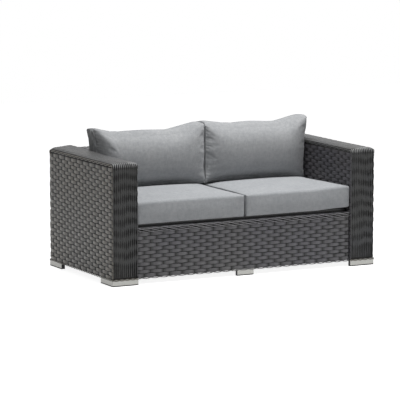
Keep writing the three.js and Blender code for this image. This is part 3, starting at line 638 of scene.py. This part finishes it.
# Cushions: foam cores with wadding in boxed covers of plain-woven polyester, seamed along every edge, with
# no piping. The seat cushions lie on the sheet, and the back cushions stand on them and lean on the back.
def block_skin(cuts):
    """The skin of a block cut at three sets of places: lattice numbers of its points, quads and each quad's
    axis. Each side is a grid, and points that two sides share become one."""
    last = [len(places) - 1 for places in cuts]
    sides, axes = [], []
    for axis in range(3):
        first, second = [a for a in range(3) if a != axis]
        i, j = np.meshgrid(np.arange(last[first]), np.arange(last[second]), indexing="ij")
        for end in (0, last[axis]):
            quad = np.zeros(i.shape + (4, 3), int)
            quad[..., axis] = end
            for corner, (di, dj) in enumerate(((0, 0), (1, 0), (1, 1), (0, 1))):
                quad[..., corner, first] = i + di
                quad[..., corner, second] = j + dj
            outward = (end > 0) == (axis != 1)
            sides.append((quad if outward else quad[..., ::-1, :]).reshape(-1, 4, 3))
            axes.append(np.full(i.size, axis))
    corners = np.concatenate(sides)
    points, numbers = np.unique(corners.reshape(-1, 3), axis=0, return_inverse=True)
    return points, numbers.reshape(-1, 4), np.concatenate(axes)


def edge_cuts(half, spacing, near=()):
    """Places from -half to half at an even spacing. near gives closer ones by their distance from the ends."""
    near = np.array([0.0, *near])
    inside = half - near[-1]
    middle = np.linspace(-inside, inside, max(2, round(2 * inside / spacing)) + 1)
    return np.concatenate([-half + near[:-1], middle, (half - near[:-1])[::-1]])


def ease(value, low, high):
    """0 below low and 1 above high, with a smooth rise between them."""
    share = np.clip((value - low) / (high - low), 0, 1)
    return share * share * (3 - 2 * share)


def drawn_curve(value, *pairs):
    """A soft curve through (place, height) pairs: straight lines, averaged over a window."""
    places, heights = np.transpose(pairs)
    return sum(np.interp(value + shift, places, heights) for shift in (-0.12, -0.06, 0, 0.06, 0.12)) / 5


def plain_weave(tree, given):
    """Plain weave of mottled yarns: u and v are metres of cloth. Threads cross over and under, single yarns
    are lighter or darker, and broad patches differ a little as brushed polyester does."""
    place = node(tree, "UVMap", uv_map="cloth").outputs["UV"]
    apart = node(tree, "SeparateXYZ", {"Vector": place}).outputs
    waves = []
    for axis in ("X", "Y"):
        turn = reckon(tree, "MULTIPLY", apart[axis], given["Thread"])
        waves.append(reckon(tree, "SINE", reckon(tree, "MULTIPLY", turn, math.pi)))
    height = reckon(tree, "MULTIPLY_ADD", reckon(tree, "MULTIPLY", *waves), 0.5, 0.5)
    yarns = [noise(tree, place, scale, 1.0) for scale in ((900.0, 26.0, 1.0), (26.0, 900.0, 1.0))]
    patch = noise(tree, object_place(tree), 9.0, 4.0)
    cloud = noise(tree, object_place(tree), 62.0, 2.0, 0.6)
    broad = reckon(tree, "MULTIPLY_ADD", cloud, 0.9, reckon(tree, "ADD", *yarns))
    mixed = reckon(tree, "MULTIPLY_ADD", patch, 0.45, broad)
    share = node(tree, "MapRange", {"Value": mixed, "From Min": 1.28, "From Max": 2.07}).outputs[0]
    colour = node(tree, "Mix", {0: share, 6: given["Dark"], 7: given["Light"]}, data_type="RGBA").outputs[2]
    return colour, reckon(tree, "MULTIPLY_ADD", height, -0.08, given["Roughness"]), height


plain_cloth = shader_group("plain cloth", {
    "Light": (0.5, 0.5, 0.5, 1), "Dark": (0.3, 0.3, 0.3, 1), "Thread": 1100.0, "Roughness": 0.9}, plain_weave)


def cloth_finish(name, light, dark):
    """Woven cloth, flecked between its two tones."""
    plain = {"Sheen Weight": 0.12, "Sheen Roughness": 0.5, "Specular IOR Level": 0.2}
    return textured_finish(name, plain_cloth, {"Light": light, "Dark": dark}, 0.0002, plain, strength=0.6)


seat_cloth = cloth_finish("light grey seat cloth", shade(186, 188, 190), shade(158, 161, 165))
# painted shade: the seat cloth made a few percent darker for the back cushions, in place of the lesser light
# on them
back_cloth_painted_shade = cloth_finish("light grey back cloth with painted shade", shade(181, 182, 183), shade(150, 152, 155))


def oval_edges(points, halves, plane, reach):
    """The block's four edges square to a plane (two axis numbers), turned into quarter ovals. reach gives, for
    the low-low, low-high, high-low and high-high edge, how far its oval reaches in along each axis. A point
    in an edge's rectangle moves along its ray, so that the rectangle becomes the quarter oval."""
    one, two = (points[:, a] for a in plane)
    first, second = np.empty_like(one), np.empty_like(one)
    for (a, b), (far, high) in zip(((0, 0), (0, 1), (1, 0), (1, 1)), reach):
        mine = ((one >= 0) == bool(a)) & ((two >= 0) == bool(b))
        first[mine], second[mine] = (np.broadcast_to(v, one.shape)[mine] for v in (far, high))
    in_one = np.maximum(np.abs(one) - (halves[plane[0]] - first), 0) / first
    in_two = np.maximum(np.abs(two) - (halves[plane[1]] - second), 0) / second
    shrink = np.maximum(in_one, in_two) / np.maximum(np.hypot(in_one, in_two), 1e-9)
    turned = (in_one > 0) & (in_two > 0)
    made = points.copy()
    for axis, old, reached, inside in ((plane[0], one, first, in_one), (plane[1], two, second, in_two)):
        made[:, axis] = np.where(turned, np.sign(old) * (halves[axis] - reached * (1 - inside * shrink)), old)
    return made


def cloth_uv(piece, flat, quads, axes):
    """Lays the cloth's threads square to the seams: each side of the cover takes its two flat distances."""
    layer = piece.data.uv_layers.new(name="cloth")
    uv = np.zeros(quads.shape + (2,))
    for axis, pair in ((0, (1, 2)), (1, (0, 2)), (2, (0, 1))):
        mine = axes == axis
        uv[mine] = flat[quads[mine]][..., pair]
    layer.data.foreach_set("uv", uv.astype(np.float32).ravel())


def point_values(mesh, kind="co"):
    """The places of a mesh's points as an array, or their outward normals where kind is normal."""
    values = np.empty(len(mesh.vertices) * 3, np.float32)
    mesh.vertices.foreach_get(kind, values)
    return values.reshape(-1, 3).astype(float)


def stuff(piece, seams, held, cap, steps=20, pressure=4.0, slack=0.010, drawn=0.018):
    """The filling presses the cover out: a cloth simulation with pressure inside, in which the cloth is cut
    loose by the share slack and the seams draw in by drawn, so that it puckers beside them. No point moves
    further than cap."""
    rest = point_values(piece.data)
    for label, members in (("seams", seams), ("held", held)):
        piece.vertex_groups.new(name=label).add([int(i) for i in members], 1.0, "REPLACE")
    cloth = piece.modifiers.new("stuffing", "CLOTH")
    settings = cloth.settings
    settings.quality = 6
    settings.mass = 0.3
    settings.air_damping = 2.0
    settings.tension_stiffness, settings.compression_stiffness = 30.0, 12.0
    settings.shear_stiffness, settings.bending_stiffness = 6.0, 0.15
    settings.tension_damping = settings.compression_damping = settings.shear_damping = 6.0
    settings.use_pressure = True
    settings.uniform_pressure_force = pressure
    settings.effector_weights.gravity = 0.0
    settings.vertex_group_shrink = "seams"
    settings.shrink_min, settings.shrink_max = -slack, drawn
    settings.vertex_group_mass = "held"
    settings.pin_stiffness = 0.5
    cloth.point_cache.frame_start, cloth.point_cache.frame_end = 1, steps
    for moment in range(1, steps + 1):
        bpy.context.scene.frame_set(moment)
    stuffed = point_values(piece.evaluated_get(bpy.context.evaluated_depsgraph_get()).data)
    piece.modifiers.remove(cloth)
    piece.vertex_groups.clear()
    bpy.context.scene.frame_set(1)
    moved = stuffed - rest
    length = np.linalg.norm(moved, axis=1)[:, None]
    return rest + moved * cap * np.tanh(length / cap) / np.maximum(length, 1e-9)


def seam_loop(lattice, end):
    """The points of one end's outline in order: along the foot, up the rear, back along the top and down the
    front. end is 0 for the left end and 1 for the right."""
    last = lattice.max(axis=0)
    number = np.full(last + 1, -1)
    number[tuple(lattice.T)] = np.arange(len(lattice))
    deep, high = last[1], last[2]
    j = np.concatenate([np.arange(deep), np.full(high, deep), np.arange(deep, 0, -1), np.zeros(high, int)])
    k = np.concatenate([np.zeros(deep, int), np.arange(high), np.full(deep, high), np.arange(high, 0, -1)])
    return number[end * last[0], j, k]


def seam_ridge(points, outward, radius):
    """The turned-in edges of a seam: a thin closed cord, six-sided, a little proud of the cloth, that swells
    and thins from stitch to stitch."""
    way = unit(np.roll(points, -1, axis=0) - np.roll(points, 1, axis=0))
    side = unit(np.cross(way, outward))
    up = np.cross(side, way)
    turn = np.arange(6) * np.pi / 3
    order = np.arange(len(points))
    thick = (radius * (1 + 0.12 * np.sin(order * 2.4)))[:, None, None]
    ring = (points + 0.4 * radius * up)[:, None] + thick * (np.cos(turn)[:, None] * up[:, None] +
                                                          np.sin(turn)[:, None] * side[:, None])
    index = np.arange(ring.shape[0] * 6).reshape(-1, 6)
    after = np.roll(index, -1, axis=0)
    quads = np.stack([index, np.roll(index, -1, axis=1), np.roll(after, -1, axis=1), after], -1)
    length = np.cumsum(np.linalg.norm(np.roll(points, -1, axis=0) - points, axis=1))
    uv = np.stack([np.repeat(length, 6), np.tile(turn * radius, len(points))], 1)
    return ring.reshape(-1, 3), quads.reshape(-1, 4), uv


def puckers(flat, halves, ends, period=0.0165):
    """How far the panel beside each end's seam stands out: folds that run in from the seam, highest 6 mm from
    it and nearly gone at 30 mm. ends is their height at the left and the right end."""
    inward = halves[0] - np.abs(flat[:, 0])
    girth = flat[:, 2] + flat[:, 1]
    end = np.where(flat[:, 0] < 0, 1.0, 4.0)
    turn = 2 * np.pi * girth / period + 70 * inward + 1.9 * np.sin(41 * girth + end)
    turn = turn + 1.1 * np.sin(17 * girth - end)
    strength = (0.55 + 0.45 * np.sin(31 * girth + 2 * end)) * (inward / 0.006) * np.exp(1 - inward / 0.006)
    return np.where(flat[:, 0] < 0, *ends) * strength * np.sin(turn)


def add_cushion(name, cloth, halves, cuts, form, press, held, cap, ends):
    """A boxed cushion: one panel wrapped round front, top and rear, and a side panel sewn in at each end. form
    bends a block into the cut of the cover, and the stuffing swells it by at most cap, hardly at all where
    held says so. press flattens it where it rests on something or meets its neighbour, and ends is the height
    of the puckers at each end."""
    lattice, quads, axes = block_skin(cuts)
    flat = np.stack([np.asarray(cuts[a])[lattice[:, a]] for a in range(3)], 1)
    piece = add_mesh(name, form(flat), quads)
    loops = [seam_loop(lattice, end) for end in (0, 1)]
    points = point_values(piece.data)
    points = stuff(piece, np.concatenate(loops), np.flatnonzero(held(flat / halves)), cap)
    for fold in (0.0, puckers(flat, halves, ends)[:, None]):
        points = press(points + fold * point_values(piece.data, "normal"))
        piece.data.vertices.foreach_set("co", points.astype(np.float32).ravel())
        piece.data.update()
    cloth_uv(piece, flat, quads, axes)
    smooth = piece.modifiers.new("fine cloth", "SUBSURF")
    smooth.levels = smooth.render_levels = 1
    fit(piece, cloth, name)
    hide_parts(f"{name}_cover", f"{name}_foam")

    fine = piece.evaluated_get(bpy.context.evaluated_depsgraph_get()).data
    places, outward = point_values(fine), point_values(fine, "normal")
    ridges = [seam_ridge(places[loop], outward[loop], 0.0016) for loop in loops]
    fit(add_mesh(f"{name}_seams", *joined_arrays(ridges), layer="cloth"), cloth, name)


seat_base = 0.2997
seat_thick = 0.110
cushion_half = 0.3035  # half of every cushion's width
seat_halves = np.array([cushion_half, 0.3005, seat_thick / 2])
seat_middle_y = 0.5 * (back_front - 0.005 - half_depth + 0.004)
rest_from = 0.090  # the back cushions lie flat on the seat from here to the rear


def seat_form(side):
    """Crown over most of the top, sides drawn in between the corners, and a front that bellies out."""
    def form(flat):
        u, v, w = (flat / seat_halves).T
        long_edges = [(0.008, 0.008), (0.012, 0.013), (0.010, 0.010), (0.014, 0.014)]
        points = oval_edges(flat, seat_halves, (1, 2), long_edges)
        inner, outer = (0.022, 0.014), (0.010, 0.009)
        points = oval_edges(points, seat_halves, (0, 1), [outer, outer, inner, inner] if side < 0 else
                            [inner, inner, outer, outer])
        points = oval_edges(points, seat_halves, (0, 2), [(0.009, 0.010)] * 4)
        x, y, z = points.T
        depth = y + seat_middle_y
        swell = np.maximum(1 - np.abs(u) ** 2.4, 0) ** 0.8
        swell = swell * ease(depth, -0.385, -0.17) * ease(-depth, -0.092, -0.045)
        z += 0.013 * swell * ease(w, 0.6, 1.0)
        z += np.where(side > 0, 0.009 * ease(u, 0.2, 1.0) * ease(-v, -0.6, 1.0), 0)
        x -= np.sign(u) * 0.004 * (1 - v ** 2) * np.abs(u)
        front = ease(-v, 0.55, 1.0)
        y += 0.004 * (1 - u ** 2) * front + 0.007 * (1 - u ** 6) * ease(w, -0.2, 1.0) * front
        y -= 0.003 * (1 - u ** 4) * (1 - w ** 2) * ease(-v, 0.97, 1.0)
        return np.stack([x + side * inner_x / 2, y + seat_middle_y, z + seat_base + seat_thick / 2], 1)
    return form


def seat_press(side):
    """On the sheet below, between the arm and the other cushion, and flat under the back cushion."""
    def press(points):
        x, y, z = points.T
        out = np.clip(x * side, 0.0030, inner_x - 0.003)
        y = np.clip(y, -half_depth - 0.004, back_front - 0.0048)
        room = np.interp(y, [0.040, rest_from], [0.430, seat_base + seat_thick - 0.0003])
        return np.stack([out * side, y, np.clip(z, seat_base, room)], 1)
    return press


back_low = 0.4098
back_height = 0.320
back_thick = 0.168
back_rear = back_front - 0.005
back_halves = np.array([cushion_half, back_thick / 2, back_height / 2])
# Height of the top's ridge, and reach of the oval front and rear edges at the top, along each cushion from
# its left end (-1) to its right end (1).
back_ridge = {-1: ((-1, 0.731), (-0.85, 0.718), (-0.72, 0.708), (-0.5, 0.706), (-0.2, 0.708), (0.1, 0.707),
                   (0.32, 0.701), (0.5, 0.708), (0.67, 0.719), (0.85, 0.732), (1, 0.742)),
              1: ((-1, 0.743), (-0.88, 0.738), (-0.6, 0.724), (-0.33, 0.720), (-0.06, 0.725), (0.05, 0.725),
                  (0.25, 0.718), (0.42, 0.718), (0.6, 0.722), (0.76, 0.735), (0.89, 0.744), (1, 0.746))}
back_top_reach = {-1: ((-1, 0.030), (-0.75, 0.092), (0.8, 0.088), (1, 0.046)),
                  1: ((-1, 0.046), (-0.8, 0.088), (0.7, 0.092), (1, 0.022))}
back_rear_reach = {-1: ((-1, 0.060), (-0.6, 0.050), (0.5, 0.050), (1, 0.098)),
                   1: ((-1, 0.098), (-0.5, 0.050), (0.4, 0.050), (1, 0.085))}
# How far the front seam of each cushion's left and right end lies behind the belly, by height, and how far in
# from the end the front panel takes to come forward again.
back_seam_line = {-1: ((((-1, 0.030), (0, 0.048), (0.5, 0.068), (1, 0.092)), 0.074),
                       (((-1, 0.007), (-0.4, 0.013), (1, 0.017)), 0.060)),
                  1: ((((-1, 0.009), (-0.4, 0.019), (1, 0.019)), 0.056),
                      (((-1, 0.046), (-0.5, 0.034), (0, 0.020), (1, 0.020)), 0.110))}


def back_form(side):
    """A plump wedge: the front swells between its ends, leans back at the top and turns under at the foot, and
    the ridge of the top dips between its corners. The side panels fall in upright folds."""
    def form(flat):
        u, v, w = (flat / back_halves).T
        plump = np.maximum(1 - np.abs(u) ** 5, 0)
        top_reach = drawn_curve(u, *back_top_reach[side])
        foot = 0.016 + 0.056 * plump
        rear_reach = drawn_curve(u, *back_rear_reach[side])
        points = oval_edges(flat, back_halves, (1, 2), [
            (foot, foot * 1.7), (top_reach, top_reach * (0.70 + 0.55 * plump)), (0.012, 0.012),
            (rear_reach, rear_reach * 0.5)])
        points = oval_edges(points, back_halves, (0, 1), [(0.008, 0.008), (0.010, 0.010)] * 2)
        points = oval_edges(points, back_halves, (0, 2), [(0.010, 0.012), (0.014, 0.014)] * 2)
        x, y, z = points.T
        front = np.clip(0.5 - y / back_thick, 0, 1)
        y -= 0.020 * np.maximum(1 - np.abs(u) ** 2.6, 0) * (1 - w ** 4) * front
        lean = 0.012 * ease(w, 0.0, 1.0) + 0.034 * np.maximum(0.12 - w, 0) ** 1.6
        for end, (line, reach) in zip((-1, 1), back_seam_line[side]):
            near = np.clip(1 - back_halves[0] * (1 - end * u) / reach, 0, 1) ** (2 if end == side else 3)
            lean += (table(w, line) - lean) * near
        y += lean * front
        ridge = drawn_curve(u, *back_ridge[side])
        z = back_low + (z / back_height + 0.5) * (ridge - back_low)
        outer = u * side > 0
        drawn_in = np.where(outer, 0.011 * (1 - ((w + 0.15) / 1.15) ** 2), 0.0042)
        x -= np.sign(u) * drawn_in * ease(np.abs(u), 0.3, 1.0)
        x += np.where(side > 0, 0.008, -0.002) * ease(u * side, 0.93, 1.0) * ease(w, 0.3, 0.85)
        folds = np.sin(2 * np.pi * y / 0.026 + 1.8 * np.sin(11 * z + side) + 1.1)
        folds += 0.5 * np.sin(2 * np.pi * y / 0.041)
        x += 0.0026 * folds * ease(np.abs(u), 0.999, 1.0) * (1 - v ** 4) * (1 - w ** 4)
        return np.stack([x + side * inner_x / 2, y + back_rear - back_thick / 2, z], 1)
    return form


def back_press(side):
    """On the seat cushion below, against the back panel, beside the arm and against the other cushion."""
    def press(points):
        x, y, z = points.T
        beside = np.interp(z, [arm_top - 0.005, arm_top + 0.030], [inner_x - 0.003, inner_x + 0.016])
        out = np.clip(x * side, 0.0027, beside)
        panel = np.interp(z, [arm_top - 0.01, arm_top + 0.03], [back_front - 0.0042, back_front + 0.004])
        return np.stack([out * side, np.minimum(y, panel), np.clip(z, back_low, 0.749)], 1)
    return press


by_seam = (0.0022, 0.0052, 0.0092, 0.0145)
by_edge = (0.0045, 0.0095, 0.0150)
seat_cuts = [edge_cuts(seat_halves[0], 0.0110, by_seam), edge_cuts(seat_halves[1], 0.0110, by_edge),
             edge_cuts(seat_halves[2], 0.0100, by_edge)]
back_cuts = [edge_cuts(back_halves[0], 0.0085, by_seam), edge_cuts(back_halves[1], 0.0080),
             edge_cuts(back_halves[2], 0.0056)]


def held_round(height, reach):
    """Says which points the filling hardly moves: those in the middle of the rear face, up to reach above and
    below height. All are shares of the half sizes."""
    def held(share):
        rear = (share[:, 1] == 1) & (np.abs(share[:, 0]) < 0.85)
        return rear & (np.abs(share[:, 2] - height) < reach)
    return held


for name, side in (("left", -1), ("right", 1)):
    add_cushion(f"seat_cushion_{name}", seat_cloth, seat_halves, seat_cuts, seat_form(side), seat_press(side),
                held_round(0, 0.8), cap=0.007, ends=(0.0003, 0.0003))
    add_cushion(f"back_cushion_{name}", back_cloth_painted_shade, back_halves, back_cuts, back_form(side), back_press(side),
                held_round(-0.35, 0.5), cap=0.013, ends=(0.0020 if side < 0 else 0.0026, 0.0008))

# Zips: a narrow tape sewn into each cushion's rear face, with two rows of small plated teeth along its middle
# and a slider that runs on them.
zip_tape = plain_finish("zip tape", shade(74, 76, 80), 0.85, spread=0.3, grain=1600.0)
zip_length = 0.460
tape_size = (zip_length + 0.012, 0.026)
tooth_size = (0.0017, 0.0036)
tooth_step = 0.0028
paint([name for name in nodes if "zip_slider" in name], zinc)


def slabs(centres, size, thick):
    """Flat boxes at centres (n, 3), size wide and high, from y of the centre to thick further back."""
    corners = np.array([(x, y, z) for x in (-0.5, 0.5) for y in (0, 1) for z in (-0.5, 0.5)])
    corners = corners * (size[0], thick, size[1])
    faces = np.array([(0, 1, 3, 2), (4, 6, 7, 5), (0, 4, 5, 1), (2, 3, 7, 6), (0, 2, 6, 4), (1, 5, 7, 3)])
    starts = 8 * np.arange(len(centres))[:, None, None]
    return (centres[:, None, :] + corners).reshape(-1, 3), (faces + starts).reshape(-1, 4)


for name, side in (("left", -1), ("right", 1)):
    for kind, height in (("seat", 0.3544), ("back", 0.4497)):
        cushion = f"{kind}_cushion_{name}"
        middle = np.array([side * inner_x / 2, back_rear + 0.00002, height])
        reach = np.arange(-zip_length / 2, zip_length / 2, tooth_step)
        row = 0.0013 * (-1.0) ** np.arange(len(reach))
        teeth = middle + np.stack([reach, np.full_like(reach, 0.00005), row], 1)
        tape = slabs(middle[None, :], tape_size, 0.00005)
        fit(add_mesh(f"{cushion}_zip_tape", *tape), zip_tape, cushion)
        teeth = slabs(teeth, tooth_size, 0.00020)
        fit(add_mesh(f"{cushion}_zip_teeth", *teeth), zinc, cushion)


# Studio: a pale sweep that the camera sees as white, one broad soft lamp overhead and a weak even light from
# all round. A long lens looks from a little above the arms, to the left of the sofa.
def seen_share(tree):
    """1 for what the camera sees straight or mirrored, and 0 for light that falls on other things."""
    path = node(tree, "LightPath").outputs
    return reckon(tree, "MAXIMUM", path["Is Camera Ray"], path["Is Glossy Ray"])


def in_scene(made, place):
    """A lamp or camera, placed in the scene."""
    placed = bpy.data.objects.new(made.name, made)
    placed.location = place
    bpy.context.scene.collection.objects.link(placed)
    return placed


floor_corners = np.array([(-8.0, -8.0, 0.0), (8.0, -8.0, 0.0), (8.0, 8.0, 0.0), (-8.0, 8.0, 0.0)])
floor = add_mesh("floor", floor_corners, np.array([[0, 1, 2, 3]]))
pale_floor = bpy.data.materials.new("pale floor")
pale_floor.use_nodes = True
tree = pale_floor.node_tree
surface = tree.nodes["Principled BSDF"].inputs
surface["Base Color"].default_value = shade(236, 236, 236)
surface["Roughness"].default_value = 0.9
surface["Emission Color"].default_value = (1, 1, 1, 1)
tree.links.new(reckon(tree, "MULTIPLY", seen_share(tree), 0.88), surface["Emission Strength"])
floor.data.materials.append(pale_floor)

world = bpy.data.worlds.new("studio")
bpy.context.scene.world = world
world.use_nodes = True
tree = world.node_tree
background = tree.nodes["Background"].inputs
background["Color"].default_value = (1, 1, 1, 1)
strength = node(tree, "MapRange", {"Value": seen_share(tree), "To Min": 0.14, "To Max": 1.0}).outputs[0]
tree.links.new(strength, background["Strength"])

lamp = bpy.data.lights.new("key lamp", "AREA")
lamp.shape = "SQUARE"
lamp.size = 1.8
lamp.energy = 83
lamp_place = np.array([0.30, -0.50, 3.0])
way = np.array([0, 0, 0.3]) - lamp_place
lamp_turn = (math.acos(-way[2] / np.linalg.norm(way)), 0, math.atan2(way[1], way[0]) - math.pi / 2)
in_scene(lamp, lamp_place).rotation_euler = lamp_turn

lens = bpy.data.cameras.new("camera")
lens.sensor_width = 36
lens.lens = 232.4
lens.clip_end = 100
camera = in_scene(lens, (-6.178, -11.683, 2.192))
camera.rotation_euler = (math.radians(90 - 7.98), 0, math.radians(-27.60))
bpy.context.scene.camera = camera
bpy.context.scene.view_settings.view_transform = "Standard"
